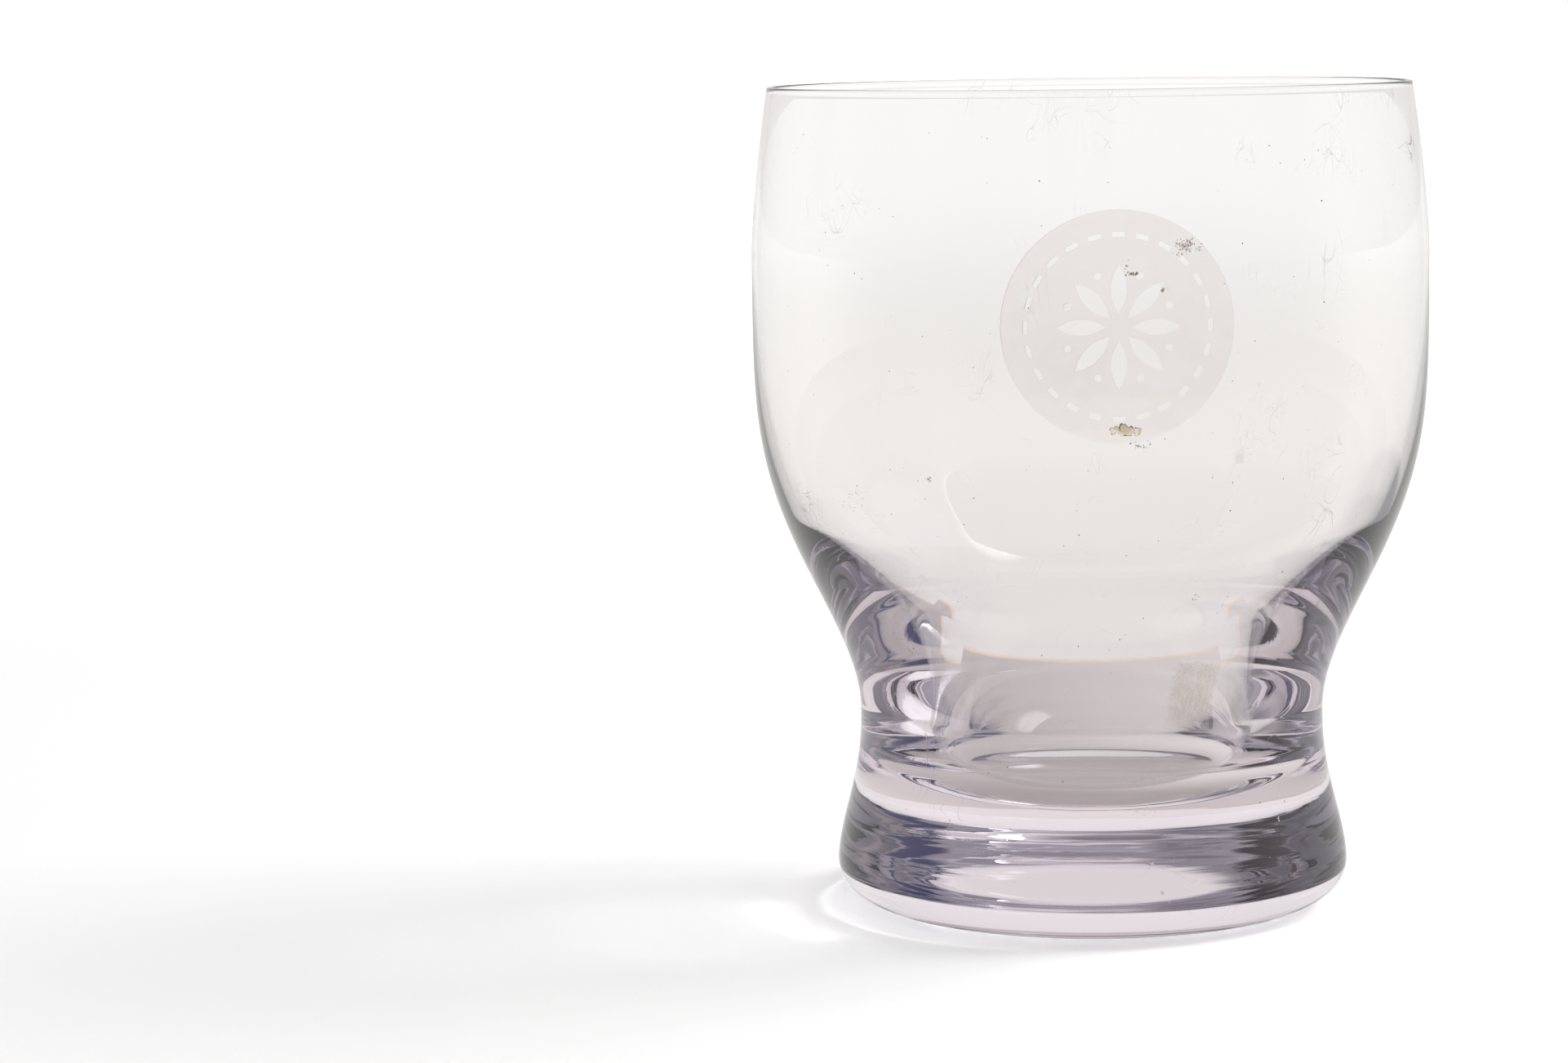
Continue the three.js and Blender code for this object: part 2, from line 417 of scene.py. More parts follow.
@dataclass(frozen=True)
class MattGlass:
    """Ground glass of the engraved disc: pale pinkish grey, rubbed brown at its lower left."""

    index: float = 1.45
    ground: Colour = (0.990, 0.960, 0.952)
    clouded: Colour = (0.998, 0.980, 0.974)
    clouds: Grain = Grain(330.0, 4.0, 0.4)
    cloud_fade: Fade = (0.42, 0.66)
    rubbed: Colour = (0.940, 0.905, 0.878)
    rub_place: tuple[float, float] = (-4.5 * MM, 61.5 * MM)
    rub_radius: float = 7 * MM
    rub_fade: Fade = (0.32, 0.62)
    rub_strength: float = 0.8
    strokes: Grain = Grain(1.0, 3.0, stretch=(900, 900, 2300))
    roughness: float = 0.08
    cloud_roughness: float = 0.06
    stroke_roughness: float = 0.04
    pits: Grain = Grain(5200.0)
    pit_height: float = 0.01 * MM
    pit_strength: float = 0.5

    def material(self) -> bpy.types.Material:
        """Builds the material.

        Returns:
            The material.
        """
        material, sheet = new_material("engraved_glass")
        place = sheet.place()
        x, _, z = sheet.axes(place)
        across = x - self.rub_place[0]
        along = z - self.rub_place[1]
        away = sheet.math("SQRT", across * across + along * along)
        cloud = sheet.noise(place, self.clouds)
        worn = away.fade(self.rub_radius, 0.0) * cloud.fade(*self.rub_fade)
        strokes = sheet.noise(place, self.strokes)
        colour = sheet.layer(opaque(self.ground), opaque(self.clouded), cloud.fade(*self.cloud_fade))
        colour = sheet.layer(colour, opaque(self.rubbed), worn * self.rub_strength)
        shader = sheet.add("BsdfPrincipled", {}, {
            "Base Color": colour,
            "Roughness": self.roughness + cloud * self.cloud_roughness + strokes * self.stroke_roughness,
            "IOR": self.index,
            "Transmission Weight": 1.0,
            "Normal": sheet.relief(sheet.noise(place, self.pits), self.pit_height, self.pit_strength),
        })
        sheet.surface(shader)
        return material


@dataclass(frozen=True)
class DriedDirt:
    """Dry crust and dust, from tan to dark brown, in patches that are counted by the metre.

    Crumb_share is how many crumbs lie across a patch.
    """

    name: str
    pale: Colour
    dark: Colour
    patches: float
    patch_layers: float = 3.0
    patch_twist: float = 0.3
    patch_fade: Fade = (0.42, 0.60)
    crumb_share: float = 6
    roughness: float = 0.80
    crumb_roughness: float = 0.18
    crumb_height: float = 0.03 * MM
    crumb_strength: float = 0.8

    def material(self) -> bpy.types.Material:
        """Builds the material.

        Returns:
            The material.
        """
        material, sheet = new_material(self.name)
        place = sheet.place()
        cloud = sheet.noise(place, Grain(self.patches, self.patch_layers, self.patch_twist))
        crumbs = sheet.noise(place, Grain(self.patches * self.crumb_share))
        shader = sheet.add("BsdfPrincipled", {}, {
            "Base Color": sheet.layer(opaque(self.pale), opaque(self.dark), cloud.fade(*self.patch_fade)),
            "Roughness": self.roughness + crumbs * self.crumb_roughness,
            "Normal": sheet.relief(crumbs, self.crumb_height, self.crumb_strength),
        })
        sheet.surface(shader)
        return material


# Modelling helpers


def alone(obj: bpy.types.Object) -> bpy.types.Object:
    """Makes an object the only selected one and the active one.

    Args:
        obj: the object.

    Returns:
        The same object.
    """
    bpy.ops.object.select_all(action="DESELECT")
    obj.select_set(True)
    bpy.context.view_layer.objects.active = obj
    return obj


def settle(obj: bpy.types.Object) -> bpy.types.Object:
    """Moves an object's place, turn and scale into its mesh.

    Args:
        obj: the object.

    Returns:
        The same object.
    """
    alone(obj)
    bpy.ops.object.transform_apply(location=True, rotation=True, scale=True)
    return obj


def join(objects: Sequence[bpy.types.Object], name: str) -> bpy.types.Object:
    """Joins objects into one.

    Args:
        objects: at least one object.
        name: the name of the joined one.

    Returns:
        The joined object.
    """
    alone(objects[0])
    for obj in objects:
        obj.select_set(True)
    bpy.ops.object.join()
    joined = bpy.context.view_layer.objects.active
    joined.name = name
    joined.data.name = name
    return joined


def finish_piece(obj: bpy.types.Object, material: bpy.types.Material) -> None:
    """Gives a piece its one material and its body.

    Args:
        obj: the piece.
        material: its material.
    """
    obj.data.materials.clear()
    obj.data.materials.append(material)
    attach(obj, "root")


# The glass


@dataclass
class GlassBody:
    """The tumbler's glass in one run: foot, waist and bowl, with the cavity inside.

    A swell's two numbers say how late a curve leaves one form and how early it settles in the next. Of the
    floor's rounding, wall_share is drawn as part of the wall. A bubble has its turn from the front in
    degrees, and its distance from the upright axis, height and half-height in millimetres.
    """

    foot_radius: float = 28.1 * MM
    foot_edge_height: float = 4.8 * MM
    foot_edge_width: float = 6.1 * MM
    waist_radius: float = 25.45 * MM
    waist_rise: float = 17 * MM
    girth_radius: float = 36.9 * MM
    girth_rise: float = 50.2 * MM
    rim_radius: float = 35 * MM
    rim_rise: float = 18 * MM
    foot_swell: tuple[float, float] = (1.66, 2.8)
    bowl_swell: tuple[float, float] = (1.78, 5.3)
    mouth_turn_in: float = 1.4
    rim_wall: float = 0.62 * MM
    lip_fullness: float = 3.2
    wall_taper: float = 5.1 * MM
    taper_power: float = 2.06
    heel_wall: float = 2.62 * MM
    heel_rise: float = 32.8 * MM
    heel_swell: tuple[float, float] = (3.26, 1.65)
    floor_thickness: float = 10.9 * MM
    floor_rounding: float = 12.3 * MM
    floor_fullness: float = 3.45
    wall_share: float = 0.1
    skin: float = 0.012 * MM
    weld: float = 0.002 * MM
    around: int = 192
    edge_rows: int = 16
    outer_rows: int = 120
    lip_rows: int = 14
    inner_rows: int = 130
    floor_rows: int = 36
    bubbles: tuple[tuple[float, float, float, float], ...] = (
        (46.6, 24.6, 11.4, 0.26),
        (50.5, 23.9, 13.0, 0.11),
        (-31.0, 25.1, 9.2, 0.10),
        (128.0, 24.4, 12.2, 0.15),
        (-140.0, 25.6, 7.8, 0.12),
    )
    bubble_around: int = 20
    bubble_rows: int = 12
    bubble_width: float = 0.7
    obj: bpy.types.Object | None = field(default=None, init=False)

    @property
    def waist_height(self) -> float:
        """Height of the waist's narrowest ring."""
        return self.foot_edge_height + self.waist_rise

    @property
    def girth_height(self) -> float:
        """Height of the bowl's widest ring."""
        return self.waist_height + self.girth_rise

    @property
    def rim_height(self) -> float:
        """Height of the rim."""
        return self.girth_height + self.rim_rise

    @staticmethod
    def swell(t: float, leave: float, arrive: float) -> float:
        """Goes from 0 to 1 with t, level at both ends."""
        return 1 - (1 - t**leave) ** arrive

    def outer(self, z: float) -> float:
        """Radius of the outside at a height.

        Args:
            z: the height.

        Returns:
            The radius.
        """
        if z < self.waist_height:
            t = self.swell(max(z - self.foot_edge_height, 0) / self.waist_rise, *self.foot_swell)
            return self.foot_radius + (self.waist_radius - self.foot_radius) * t
        if z < self.girth_height:
            t = self.swell((z - self.waist_height) / self.girth_rise, *self.bowl_swell)
            return self.waist_radius + (self.girth_radius - self.waist_radius) * t
        t = (z - self.girth_height) / self.rim_rise
        return self.girth_radius + (self.rim_radius - self.girth_radius) * t**self.mouth_turn_in

    def inner(self, z: float) -> float:
        """Radius of the cavity at a height.

        Args:
            z: the height, no lower than the middle of the floor.

        Returns:
            The radius.
        """
        rise = z - self.floor_thickness
        depth = 1 - min(rise / (self.girth_height - self.floor_thickness), 1)
        heel = self.heel_wall * (1 - self.swell(min(rise / self.heel_rise, 1), *self.heel_swell))
        wall = self.rim_wall + self.wall_taper * depth**self.taper_power + heel
        drop = 1 - min(rise / self.floor_rounding, 1)
        rounding = (1 - drop**self.floor_fullness) ** (1 / self.floor_fullness)
        return (self.outer(z) - wall) * rounding

    def surface_point(self, turn: float, z: float) -> tuple[Vector, Vector]:
        """A point of the outside and its outward normal.

        Args:
            turn: degrees round from the front, to the right seen from there.
            z: the height.

        Returns:
            The point and the normal.
        """
        step = 0.05 * MM
        slope = (self.outer(z + step) - self.outer(z - step)) / (2 * step)
        ray = Vector((math.sin(math.radians(turn)), -math.cos(math.radians(turn)), 0))
        normal = (ray - Vector((0, 0, slope))).normalized()
        return ray * (self.outer(z) - self.skin) + Vector((0, 0, z)), normal

    def profile(self) -> list[tuple[float, float]]:
        """Draws the section, from the middle of the underside round the lip to the middle of the floor.

        Returns:
            The radius and height of each point.
        """
        points = [(0.0, 0.0)]
        for i in range(self.edge_rows):
            turn = math.pi / 2 * i / self.edge_rows
            radius = self.foot_radius - self.foot_edge_width * (1 - math.sin(turn))
            points.append((radius - self.skin, self.foot_edge_height * (1 - math.cos(turn))))
        lip = self.rim_wall / 2
        lip_height = self.rim_height - lip
        for i in range(self.outer_rows + 1):
            z = self.foot_edge_height + (lip_height - self.foot_edge_height) * i / self.outer_rows
            points.append((self.outer(z) - self.skin, z))
        middle = self.outer(lip_height) - lip
        for i in range(1, self.lip_rows):
            turn = math.pi * i / self.lip_rows
            across, up = (
                math.copysign(abs(part) ** (2 / self.lip_fullness), part)
                for part in (math.cos(turn), math.sin(turn))
            )
            points.append((middle + (lip - self.skin) * across, lip_height + (lip - self.skin) * up))
        low = self.floor_thickness + (1 - self.wall_share) * self.floor_rounding
        for i in range(self.inner_rows + 1):
            z = lip_height + (low - lip_height) * i / self.inner_rows
            points.append((self.inner(z), z))
        start = math.asin(self.wall_share ** (self.floor_fullness / 2))
        for i in range(1, self.floor_rows):
            turn = start + (math.pi / 2 - start) * i / self.floor_rows
            z = self.floor_thickness + self.floor_rounding * (1 - math.sin(turn) ** (2 / self.floor_fullness))
            points.append((self.inner(z), z))
        points.append((0.0, self.floor_thickness))
        return points

    def build(self) -> bpy.types.Object:
        """Draws the section point by point and spins it round the upright axis.

        Returns:
            The glass, with its bubbles.
        """
        points = [Vector((radius, 0, z)) for radius, z in self.profile()]
        bpy.ops.object.select_all(action="DESELECT")
        bpy.ops.mesh.primitive_plane_add(size=MM, enter_editmode=True, location=points[0])
        bpy.ops.mesh.merge(type="CENTER")
        for here, there in zip(points, points[1:]):
            bpy.ops.mesh.extrude_vertices_move(TRANSFORM_OT_translate={"value": there - here})
        bpy.ops.mesh.select_all(action="SELECT")
        bpy.ops.mesh.spin(steps=self.around, angle=2 * math.pi, center=(0, 0, 0), axis=(0, 0, 1))
        bpy.ops.mesh.select_all(action="SELECT")
        bpy.ops.mesh.remove_doubles(threshold=self.weld)
        bpy.ops.mesh.normals_make_consistent(inside=False)
        bpy.ops.object.mode_set(mode="OBJECT")
        bpy.ops.object.shade_smooth()
        glass = settle(bpy.context.object)
        self.obj = join([glass, *(self._bubble(*bubble) for bubble in self.bubbles)], "glass_body")
        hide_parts("foot", "waist", "bowl")
        return self.obj

    def _bubble(self, turn: float, radius: float, height: float, size: float) -> bpy.types.Object:
        """A small drawn-out air bubble inside the glass.

        Args:
            turn: degrees round from the front.
            radius: millimetres from the upright axis.
            height: millimetres over the table.
            size: half its height, in millimetres.

        Returns:
            The bubble, with its faces towards the air in it.
        """
        angle = math.radians(turn)
        place = Vector((radius * math.sin(angle), -radius * math.cos(angle), height)) * MM
        bpy.ops.object.select_all(action="DESELECT")
        bpy.ops.mesh.primitive_uv_sphere_add(
            segments=self.bubble_around,
            ring_count=self.bubble_rows,
            radius=size * MM,
            enter_editmode=True,
            location=place,
        )
        bpy.ops.transform.resize(value=(self.bubble_width, self.bubble_width, 1.0))
        bpy.ops.mesh.flip_normals()
        bpy.ops.object.mode_set(mode="OBJECT")
        bpy.ops.object.shade_smooth()
        return settle(bpy.context.object)

    def dress(self, finish: ClearGlass) -> None:
        """Gives the glass its finish."""
        finish_piece(self.obj, finish.material())


@dataclass
class EngravedDisc:
    """The round matt engraving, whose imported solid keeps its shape."""

    node: str = "engraved_badge"

    def dress(self, finish: MattGlass) -> bpy.types.Object:
        """Gives the engraving its finish.

        Args:
            finish: the matt finish.

        Returns:
            The engraving.
        """
        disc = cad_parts[self.node]
        disc.data.materials.clear()
        disc.data.materials.append(finish.material())
        return disc


# Marks of use


@dataclass(frozen=True)
class Spot:
    """A patch of crumbs on the outside of the glass.

    Turn is in degrees round from the front, and all lengths are in millimetres.
    """

    turn: float
    height: float
    spread: tuple[float, float]
    crumbs: int
    size: Range
    flatness: float = 0.35
    sink: float = 0.95


@dataclass
class Deposits:
    """Crumbs that stick to the outside of the glass: dry crust, a few tan scales and fine dust.

    The girth turns a spread in millimetres into one in degrees, and dust lies within the dust_heights.
    Each kind has a few models of a crumb, and a copy's length and width are shares of its size.
    """

    body: GlassBody
    seed: int = 7
    crust: tuple[Spot, ...] = (
        Spot(10.8, 74.2, (0.50, 0.38), 90, (0.04, 0.10), 0.6, 0.6),
        Spot(12.4, 73.7, (0.45, 0.30), 22, (0.03, 0.06), 0.6, 0.6),
        Spot(9.8, 73.3, (0.30, 0.20), 12, (0.03, 0.05), 0.6, 0.8),
        Spot(2.1, 71.4, (0.30, 0.12), 14, (0.06, 0.13), 0.5),
        Spot(1.2, 72.1, (0.20, 0.26), 9, (0.03, 0.06), 0.5),
        Spot(7.0, 69.7, (0.11, 0.11), 12, (0.05, 0.11), 0.6),
        Spot(7.7, 69.8, (0.10, 0.05), 3, (0.03, 0.05), 0.6),
        Spot(3.2, 53.9, (0.60, 0.16), 16, (0.04, 0.08), 0.5),
        Spot(-32.2, 50.1, (0.14, 0.20), 12, (0.04, 0.09), 0.5),
        Spot(15.4, 37.4, (0.26, 0.22), 6, (0.05, 0.09), 0.5, 0.5),
    )
    scales: tuple[Spot, ...] = (
        Spot(1.2, 55.45, (0.34, 0.09), 9, (0.34, 0.54), 0.10, 0.3),
        Spot(-0.7, 55.5, (0.16, 0.08), 4, (0.22, 0.34), 0.12, 0.3),
        Spot(3.1, 55.4, (0.18, 0.08), 4, (0.20, 0.32), 0.12, 0.3),
    )
    smears: tuple[Spot, ...] = (
        Spot(-49.0, 47.4, (0.9, 0.8), 18, (0.03, 0.06)),
        Spot(-46.5, 46.4, (0.5, 0.9), 10, (0.03, 0.05)),
        Spot(-52.6, 46.7, (0.8, 0.3), 10, (0.03, 0.05)),
    )
    girth: float = 36.0
    dust_count: int = 320
    dust_spread: tuple[float, float] = (2.0, 2.0)
    dust_size: Range = (0.025, 0.090)
    dust_heights: Range = (8, 86)
    crust_fineness: int = 2
    scale_fineness: int = 3
    dust_fineness: int = 1
    models: int = 4
    raggedness: float = 0.22
    lengths: Range = (0.6, 1.4)
    widths: Range = (0.6, 1.2)
    finishes: tuple[DriedDirt, ...] = (
        DriedDirt("dried_crust", pale=(0.94, 0.85, 0.74), dark=(0.34, 0.18, 0.09), patches=8500.0),
        DriedDirt("tan_scales", pale=(0.92, 0.86, 0.72), dark=(0.72, 0.60, 0.42), patches=900.0),
        DriedDirt("fine_dust", pale=(0.56, 0.48, 0.40), dark=(0.20, 0.16, 0.13), patches=700.0),
    )

    def build(self) -> list[bpy.types.Object]:
        """Models the three kinds of crumb and scatters them.

        Returns:
            The pieces.
        """
        chance = random.Random(self.seed)
        crust = self._scatter("dried_crust", self.crust, self.crust_fineness, chance)
        scales = self._scatter("tan_scales", self.scales, self.scale_fineness, chance)
        specks = []
        for _ in range(self.dust_count):
            turn, height = chance.uniform(-180, 180), chance.uniform(*self.dust_heights)
            specks.append(Spot(turn, height, self.dust_spread, 1, self.dust_size))
        dust = self._scatter("fine_dust", [*self.smears, *specks], self.dust_fineness, chance)
        return [crust, scales, dust]

    def _scatter(
        self, name: str, spots: Sequence[Spot], fineness: int, chance: random.Random
    ) -> bpy.types.Object:
        """Models crumbs of one kind and lays copies of them on the glass.

        Args:
            name: the piece's name.
            spots: where they lie.
            fineness: how finely a crumb is divided.
            chance: the source of chance.

        Returns:
            The joined piece.
        """
        models = [self._crumb(fineness, chance.randrange(1000)) for _ in range(self.models)]
        laid = []
        for spot in spots:
            for _ in range(spot.crumbs):
                model = chance.choice(models)
                copy = model.copy()
                copy.data = model.data.copy()
                bpy.context.collection.objects.link(copy)
                copy.matrix_world = self._seat(spot, chance)
                laid.append(copy)
        for model in models:
            bpy.data.objects.remove(model)
        for copy in laid:
            copy.data.transform(copy.matrix_world)
            copy.matrix_world = Matrix.Identity(4)
        return join(laid, name)

    def _crumb(self, fineness: int, seed: int) -> bpy.types.Object:
        """One ragged crumb, a metre in radius until it is laid.

        Args:
            fineness: how finely it is divided.
            seed: what its raggedness starts from.

        Returns:
            The crumb.
        """
        bpy.ops.object.select_all(action="DESELECT")
        bpy.ops.mesh.primitive_ico_sphere_add(subdivisions=fineness, radius=1.0, enter_editmode=True)
        bpy.ops.transform.vertex_random(offset=self.raggedness, uniform=0.5, normal=0.5, seed=seed)
        bpy.ops.mesh.normals_make_consistent(inside=False)
        bpy.ops.object.mode_set(mode="OBJECT")
        bpy.ops.object.shade_smooth()
        return bpy.context.object

    def _seat(self, spot: Spot, chance: random.Random) -> Matrix:
        """Where one crumb of a spot lies, sunk in the glass's surface.

        Args:
            spot: the spot.
            chance: the source of chance.

        Returns:
            The crumb's place, turn and size.
        """
        turn = spot.turn + math.degrees(chance.gauss(0, spot.spread[0]) / self.girth)
        height = (spot.height + chance.gauss(0, spot.spread[1])) * MM
        point, normal = self.body.surface_point(turn, height)
        size = chance.uniform(*spot.size) * MM
        length, width = chance.uniform(*self.lengths), chance.uniform(*self.widths)
        shape = size * Vector((length, width, spot.flatness))
        facing = normal.to_track_quat("Z", "Y").to_matrix().to_4x4()
        spun = Matrix.Rotation(chance.uniform(0, 2 * math.pi), 4, "Z")
        sunk = point - normal * (shape.z * spot.sink)
        return Matrix.Translation(sunk) @ facing @ spun @ Matrix.Diagonal((*shape, 1))

    def dress(self, pieces: Sequence[bpy.types.Object]) -> None:
        """Gives crust, scales and dust their finishes.

        Args:
            pieces: the three pieces, in that order.
        """
        for piece, finish in zip(pieces, self.finishes):
            finish_piece(piece, finish.material())


# Studio


def direction(azimuth: float, elevation: float) -> Vector:
    """A unit vector by its azimuth, from +Y towards +X, and its elevation, both in degrees."""
    turn, rise = math.radians(azimuth), math.radians(elevation)
    return Vector((math.sin(turn) * math.cos(rise), math.cos(turn) * math.cos(rise), math.sin(rise)))


@dataclass(frozen=True)
class Glow:
    """A soft patch of the surroundings.

    Its middle is given by azimuth and elevation. The patch is full as far as inner degrees from its middle
    and gone at outer degrees.
    """

    azimuth: float
    elevation: float
    inner: float
    outer: float
    colour: Colour

    def mask(self, sheet: NodeSheet, facing: Socket) -> Socket:
        """Where the patch lies.

        Args:
            sheet: the world's sheet.
            facing: the direction that is looked in.

        Returns:
            The mask.
        """
        middle = direction(self.azimuth, self.elevation)
        near = sheet.add("VectorMath", {"operation": "DOT_PRODUCT"}, {0: facing, 1: middle}, output=1)
        return near.fade(math.cos(math.radians(self.outer)), math.cos(math.radians(self.inner)))


@dataclass
class Studio:
    """The pale floor, the soft light from the right, and the light and dark surroundings of the glass.

    A fade named after a reach is in metres. One named after a turn is in how far a direction points behind
    the glass, or to its right, from -1 to 1, and one named after a rise in how far it points up. One named
    after steps is in steps of a path of light.
    """

    # The floor as the camera sees it, with a painted glow that is weak by the glass and strong far from it.
    floor_half: float = 6.0
    floor_turn: float = 4.7
    floor_drop: float = 0.05 * MM
    floor_colour: float = 0.80
    floor_roughness: float = 0.9
    floor_gloss: float = 0.1
    floor_glow: float = 0.285
    far_glow: float = 0.95
    glow_reach: Fade = (0.22, 0.80)
    # The floor's painted glow as the glass sees it, from painted shade under the foot to painted light at the
    # horizon.
    under_light: Colour = (0.43, 0.385, 0.38)
    near_light: Colour = (0.56, 0.51, 0.50)
    near_right: Colour = (0.84, 0.79, 0.77)
    edge_light: Colour = (0.90, 0.74, 0.60)
    far_light: Colour = (0.90, 0.855, 0.835)
    middle_light: Colour = (0.95, 0.925, 0.90)
    horizon_light: Colour = (1.06, 1.045, 1.025)
    under_reach: Fade = (14 * MM, 34 * MM)
    right_turn: Fade = (-0.8, 0.9)
    edge_radius: float = 50.5 * MM
    edge_width: float = 0.9 * MM
    corner_reach: Fade = (24.0 * MM, 24.6 * MM)
    corner_slope: float = 0.8
    middle_reach: Fade = (75.75 * MM, 0.32)
    horizon_reach: Fade = (0.32, 1.7)
    # A patch of painted shade and the painted dark front of the room on the floor, for light that the glass
    # turns back.
    shade: Colour = (0.32, 0.31, 0.34)
    shade_place: tuple[float, float] = (86 * MM, 75 * MM)
    shade_reach: Fade = (62 * MM, 40 * MM)
    front_turn: Fade = (0.45, -0.25)
    front_reach: Fade = (0.15, 0.45)
    # Painted slate shade that light sees after many steps in the glass, and painted pale light after few.
    slate: Colour = (0.34, 0.335, 0.37)
    slate_steps: Fade = (6.0, 8.6)
    pale: Colour = (0.97, 0.955, 0.945)
    pale_steps: Fade = (4.0, 2.5)
    pale_turn: Fade = (0.75, 0.50)
    pale_rise: Fade = (0.60, 0.35)
    # The room round the glass, and the painted reflection that its surface mirrors of it.
    surround: Colour = (0.13, 0.13, 0.15)
    side_light: Colour = (0.86, 0.85, 0.84)
    side_turn: Fade = (-0.9, -0.1)
    ceiling_rise: Fade = (0.40, 0.75)
    even_light: Colour = (0.46, 0.46, 0.46)
    glows: tuple[Glow, ...] = (
        Glow(0, 88, 6, 34, (0.36, 0.33, 0.36)),
        Glow(-80, 42, 8, 34, (0.50, 0.49, 0.50)),
        Glow(-3, 20, 36, 86, (0.84, 0.81, 0.79)),
        Glow(-45, 41, 10, 26, (0.24, 0.23, 0.25)),
        Glow(80, 56, 14, 44, (0.85, 0.84, 0.83)),
        Glow(-88, 17, 16, 32, (0.035, 0.028, 0.03)),
        Glow(124, 15, 10, 22, (0.26, 0.24, 0.24)),
        Glow(96, 18, 13, 26, (0.035, 0.04, 0.11)),
        Glow(-138, 20, 14, 28, (0.07, 0.068, 0.08)),
    )
    # A painted highlight, which only light after many steps in the glass sees.
    spark: Glow = Glow(117, 55, 7, 15, (5.0, 5.0, 5.1))
    spark_steps: Fade = (5.1, 6.0)
    # The lamp.
    lamp_azimuth: float = 72.0
    lamp_elevation: float = 43.0
    lamp_distance: float = 1.2
    lamp_size: float = 0.5
    lamp_power: float = 11.0
    lamp_in_glass: float = 0.02

    def build(self) -> None:
        """Sets up the floor, the lamp and the surroundings."""
        self._floor()
        self._lamp()
        self._surroundings()

    def _floor(self) -> None:
        """A plain pale floor with a painted glow, which the glass sees greyer close to its foot, as painted
        shade.
        """
        bpy.ops.object.select_all(action="DESELECT")
        turned = (0, 0, math.radians(-self.floor_turn))
        place = (0, 0, -self.floor_drop)
        bpy.ops.mesh.primitive_plane_add(size=2 * self.floor_half, location=place, rotation=turned)
        floor = bpy.context.object
        floor.name = "floor"
        material, sheet = new_material("pale_floor")
        x, y, _ = sheet.axes(sheet.place())
        away = sheet.math("SQRT", x * x + y * y)
        glow = sheet.add("Emission", {}, {"Color": self._floor_in_glass(sheet, x, y, away)})
        # Painted glow: the floor glows weakly by the glass and strongly far from it.
        near, far = opaque((self.floor_glow,) * 3), opaque((self.far_glow,) * 3)
        lit = sheet.add("BsdfPrincipled", {}, {
            "Base Color": opaque((self.floor_colour,) * 3),
            "Roughness": self.floor_roughness,
            "Specular IOR Level": self.floor_gloss,
            "Emission Color": sheet.layer(near, far, away.fade(*self.glow_reach)),
            "Emission Strength": 1.0,
        })
        sheet.surface(sheet.add("MixShader", {}, {0: sheet.through_glass(), 1: lit, 2: glow}))
        floor.data.materials.append(material)

    def _floor_in_glass(self, sheet: NodeSheet, x: Socket, y: Socket, away: Socket) -> Socket:
        """The floor's painted glow as the glass sees it: painted shade under and near the foot, and painted
        light further out.

        Args:
            sheet: the floor's sheet.
            x: the place's first number.
            y: its second number.
            away: how far it is from the upright axis.

        Returns:
            The colour.
        """
        edge, width = self.edge_radius, self.edge_width
        # Painted shade under and near the foot, lighter to the right, then rings of painted light out to the
        # horizon.
        right = (x / away).fade(*self.right_turn)
        near = sheet.layer(opaque(self.near_light), opaque(self.near_right), right)
        seen = sheet.layer(opaque(self.under_light), near, away.fade(*self.under_reach))
        beside = abs(x).fade(*self.corner_reach)
        reach = sheet.math("MAXIMUM", away, (abs(x) + y) * self.corner_slope * beside)
        seen = sheet.layer(seen, opaque(self.edge_light), reach.fade(edge - width, edge))
        seen = sheet.layer(seen, opaque(self.far_light), reach.fade(edge, edge + width))
        seen = sheet.layer(seen, opaque(self.middle_light), away.fade(*self.middle_reach))
        seen = sheet.layer(seen, opaque(self.horizon_light), away.fade(*self.horizon_reach))
        # Painted shade: a dark patch behind at the right and the dark front of the room, only for light that
        # the glass turned back.
        across, along = x - self.shade_place[0], y - self.shade_place[1]
        spot = sheet.math("SQRT", across * across + along * along).fade(*self.shade_reach)
        turned_back = sheet.mirrored_within()
        seen = sheet.layer(seen, opaque(self.shade), spot * turned_back)
        front = (y / away).fade(*self.front_turn) * away.fade(*self.front_reach)
        seen = sheet.layer(seen, opaque(self.surround), front * turned_back)
        return self._deep(sheet, self._mirrored(sheet, seen, y / away))

    def _lamp(self) -> None:
        """A soft lamp at the right, strong for the floor's shadow and weak for what the glass mirrors."""
        towards = direction(self.lamp_azimuth, self.lamp_elevation)
        facing = towards.to_track_quat("Z", "Y").to_euler()
        bpy.ops.object.light_add(type="AREA", location=self.lamp_distance * towards, rotation=facing)
        lamp = bpy.context.object
        lamp.name = "soft_lamp"
        lamp.data.shape = "SQUARE"
        lamp.data.size = self.lamp_size
        lamp.data.energy = self.lamp_power
        lamp.data.use_nodes = True
        sheet = NodeSheet(lamp.data.node_tree)
        bent, mirrored, scattered = (
            sheet.add("LightPath", output=kind + " Depth") for kind in ("Transmission", "Glossy", "Diffuse")
        )
        in_glass = sheet.math("GREATER_THAN", bent + mirrored, 0.5) * sheet.math("LESS_THAN", scattered, 0.5)
        glow = sheet.add("Emission", {}, {"Strength": 1 - in_glass * (1 - self.lamp_in_glass)})
        sheet.add("OutputLight", {}, {"Surface": glow})

    def _mirrored(self, sheet: NodeSheet, colour: Socket | Rgba, ahead: Socket) -> Socket:
        """Turns a colour to painted shade in front and painted light at the sides, a painted reflection for
        what the glass mirrors.

        Args:
            sheet: the sheet it is on.
            colour: the colour.
            ahead: how far the place lies behind the glass, from -1 to 1.

        Returns:
            The turned colour.
        """
        around = sheet.layer(opaque(self.surround), opaque(self.side_light), ahead.fade(*self.side_turn))
        sharp = sheet.add("LightPath", output="Is Glossy Ray")
        return sheet.layer(colour, around, sharp * (1 - sheet.add("LightPath", output="Is Transmission Ray")))

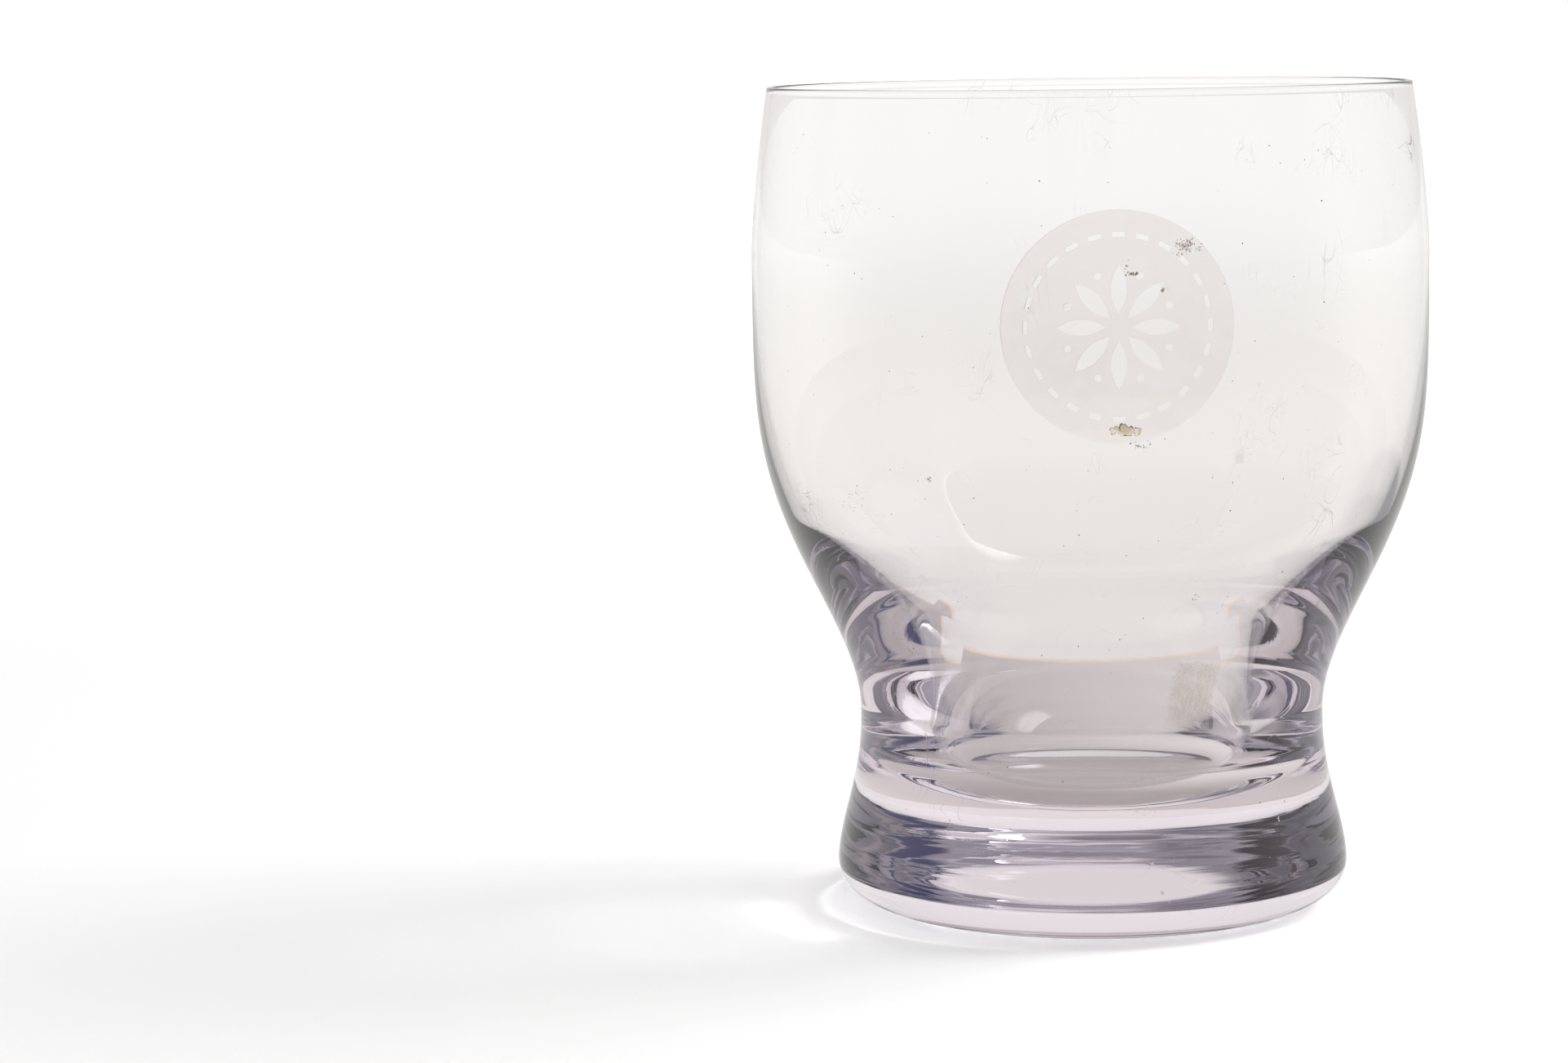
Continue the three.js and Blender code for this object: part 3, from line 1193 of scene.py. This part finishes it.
    def _deep(self, sheet: NodeSheet, colour: Socket | Rgba) -> Socket:
        """Turns a colour to slate, a painted shade, for light that has run to and fro in the glass.

        Args:
            sheet: the sheet it is on.
            colour: the colour.

        Returns:
            The turned colour.
        """
        long = sheet.add("LightPath", output="Ray Depth").fade(*self.slate_steps)
        return sheet.layer(colour, opaque(self.slate), long, Blend.DARKEN)

    def _surroundings(self) -> None:
        """Soft patches of light and shade for the glass, and plain white behind it for the camera."""
        scene = bpy.context.scene
        scene.world = bpy.data.worlds.new("surroundings")
        scene.world.use_nodes = True
        sheet = NodeSheet(scene.world.node_tree)
        facing = sheet.add("TexCoord", output="Generated")
        colour: Socket | Rgba = opaque(self.surround)
        for glow in self.glows:
            colour = sheet.layer(colour, opaque(glow.colour), glow.mask(sheet, facing))
        steps = sheet.add("LightPath", output="Ray Depth")
        # Painted highlight: the spark lights only long paths in the glass.
        lit = self.spark.mask(sheet, facing) * steps.fade(*self.spark_steps)
        colour = sheet.layer(colour, opaque(self.spark.colour), lit)
        # Painted pale light for light that went through the glass in few steps, or straight through towards
        # the sides and low.
        bent = sheet.add("LightPath", output="Is Transmission Ray")
        colour = sheet.layer(colour, opaque(self.pale), steps.fade(*self.pale_steps) * bent)
        _, ahead, up = sheet.axes(facing)
        beside = ahead.fade(*self.pale_turn) * up.fade(*self.pale_rise)
        colour = sheet.layer(colour, opaque(self.pale), (1 - sheet.mirrored_within()) * bent * beside)
        # Painted reflection: what the glass's surface mirrors is shade in front and light at the sides and
        # back.
        colour = self._mirrored(sheet, colour, ahead - up.fade(*self.ceiling_rise))
        colour = sheet.layer(colour, opaque(self.even_light), sheet.add("LightPath", output="Is Diffuse Ray"))
        room = sheet.add("Background", {}, {"Color": self._deep(sheet, colour), "Strength": 1.0})
        white = sheet.add("Background", {}, {"Color": opaque((1, 1, 1)), "Strength": 1.0})
        straight = sheet.add("LightPath", output="Is Camera Ray")
        shown = sheet.add("MixShader", {}, {0: straight, 1: room, 2: white})
        sheet.add("OutputWorld", {}, {"Surface": shown})


@dataclass(frozen=True)
class Camera:
    """The camera that was fitted to the photograph.

    Angles are in degrees, and lens and sensor_width in millimetres. The engraving stands a little to the
    right of the middle, which front_turn says.
    """

    lens: float = 102.09
    distance: float = 487.34 * MM
    height: float = 98.96 * MM
    pan: float = -3.966
    tilt: float = 6.768
    roll: float = 0.75
    front_turn: float = 4.7
    sensor_width: float = 36
    nearest: float = 0.01

    def build(self) -> bpy.types.Object:
        """Places the camera.

        Returns:
            The camera.
        """
        pan, tilt, roll = (math.radians(a) for a in (self.pan, self.tilt, self.roll))
        ahead = Vector((math.sin(pan) * math.cos(tilt), math.cos(pan) * math.cos(tilt), -math.sin(tilt)))
        level = Vector((math.cos(pan), -math.sin(pan), 0))
        under = ahead.cross(level)
        right = math.cos(roll) * level + math.sin(roll) * under
        down = math.cos(roll) * under - math.sin(roll) * level
        facing = Matrix((right, -down, -ahead)).transposed().to_4x4()
        placed = Matrix.Translation((0, -self.distance, self.height)) @ facing
        data = bpy.data.cameras.new("camera")
        data.sensor_width = self.sensor_width
        data.lens = self.lens
        data.clip_start = self.nearest
        camera = bpy.data.objects.new("camera", data)
        bpy.context.collection.objects.link(camera)
        camera.matrix_world = Matrix.Rotation(math.radians(-self.front_turn), 4, "Z") @ placed
        bpy.context.scene.camera = camera
        return camera


def set_light_paths() -> None:
    """Lets light pass through the many walls of the glass, and keeps the pale tones as they are."""
    scene = bpy.context.scene
    scene.view_settings.view_transform = "Standard"
    scene.cycles.max_bounces = 32
    scene.cycles.transmission_bounces = 32
    scene.cycles.glossy_bounces = 16
    scene.cycles.caustics_refractive = True
    scene.cycles.caustics_reflective = True
    scene.cycles.blur_glossy = 0
    scene.cycles.use_denoising = True


def main() -> None:
    """Builds the pieces, the studio and the camera, and notes how many faces the pieces have."""
    logging.basicConfig(level=logging.INFO, format="%(name)s: %(message)s")
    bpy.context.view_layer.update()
    Camera().build()
    body = GlassBody()
    glass = body.build()
    body.dress(ClearGlass())
    log.info("%s has %d faces", glass.name, len(glass.data.polygons))
    disc = EngravedDisc().dress(MattGlass())
    log.info("%s keeps its packed shape", disc.name)
    deposits = Deposits(body)
    pieces = deposits.build()
    deposits.dress(pieces)
    for piece in pieces:
        log.info("%s has %d faces", piece.name, len(piece.data.polygons))
    Studio().build()
    set_light_paths()


if __name__ == "__main__":
    main()
